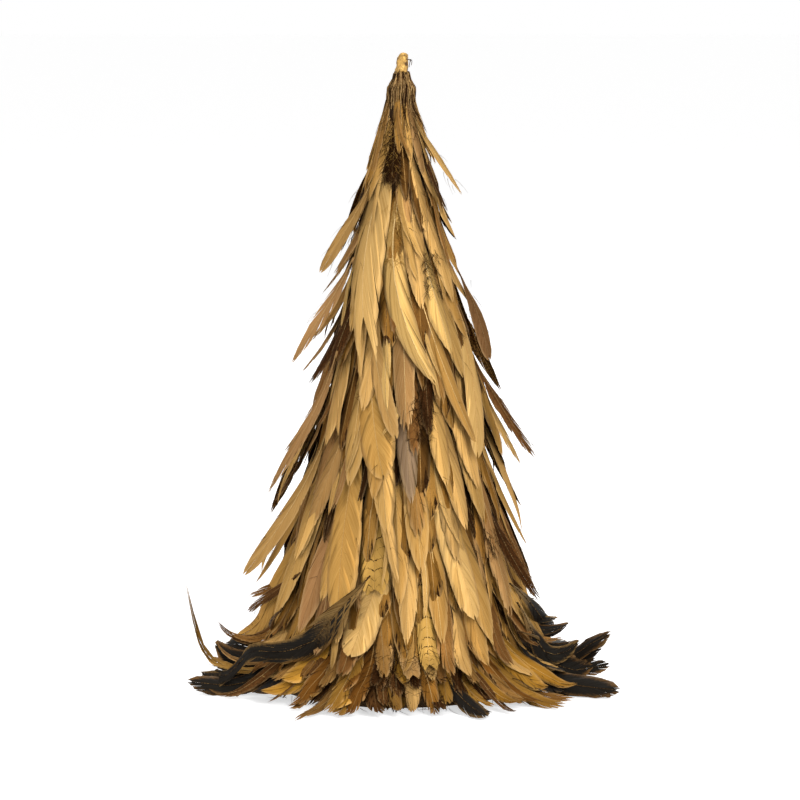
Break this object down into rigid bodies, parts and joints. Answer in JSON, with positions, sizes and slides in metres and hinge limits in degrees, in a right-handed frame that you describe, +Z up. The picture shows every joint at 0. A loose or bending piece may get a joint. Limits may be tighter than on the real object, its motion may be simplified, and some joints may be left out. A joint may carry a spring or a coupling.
{
  "type": "feather christmas tree",
  "caption": "Table-top christmas tree of gold-sprayed feathers in shingled rows round a cardboard cone, with a skirt of dark cock-tail feathers on the floor.",
  "frame": {"origin": "middle of the base board's underside, on the surface that the tree stands on", "axes": "+Z up the cone's axis to the tip, the pictured front faces -Y, +X to the right as seen from the front"},
  "size_m": [0.3373, 0.3019, 0.5],
  "materials": {
    "gilt_feather": "dyed feather sprayed with gold paint, satin with a metallic glint along the barbs",
    "brown_feather": "natural brown feather barely touched by the spray, matte",
    "coque_feather": "black-green cock-tail feather with a bronze sheen",
    "gilt_tip": "lumpy hot glue painted gold",
    "core_board": "rolled grey-brown board"
  },
  "bodies": {
    "root": {"cone_shell": "core_board", "base_disc": "core_board", "tip_cap": "gilt_tip", "feather_row_01": "gilt_feather", "feather_row_02": "gilt_feather", "feather_row_03": "gilt_feather", "feather_row_04": "gilt_feather", "feather_row_05": "gilt_feather", "feather_row_06": "gilt_feather", "feather_row_07": "gilt_feather", "feather_row_08": "gilt_feather", "feather_row_09": "gilt_feather", "feather_row_10": "gilt_feather", "feather_row_11": "gilt_feather", "feather_row_12": "gilt_feather", "feather_row_13": "gilt_feather", "feather_row_14": "gilt_feather", "feather_row_15": "gilt_feather", "feather_row_16": "gilt_feather", "skirt_row_upper": "coque_feather", "skirt_row_lower": "coque_feather", "coque_left_curl": "brown_feather", "coque_left_raised": "brown_feather", "coque_left_oval": "coque_feather", "coque_left_long": "coque_feather", "coque_right_fan": "coque_feather", "coque_right_raised": "coque_feather", "coque_right_tip": "coque_feather", "stray_left_low": "gilt_feather", "stray_right_low": "brown_feather", "stray_left_lower": "gilt_feather", "stray_right_thin": "gilt_feather", "stray_right_forked": "brown_feather", "stray_left_long": "gilt_feather", "stray_right_dark": "brown_feather", "stray_left_upper": "gilt_feather", "stray_right_upper": "gilt_feather", "stray_back_upper": "gilt_feather", "stray_back_middle": "gilt_feather", "stray_back_lower": "gilt_feather"}
  },
  "joints": []
}
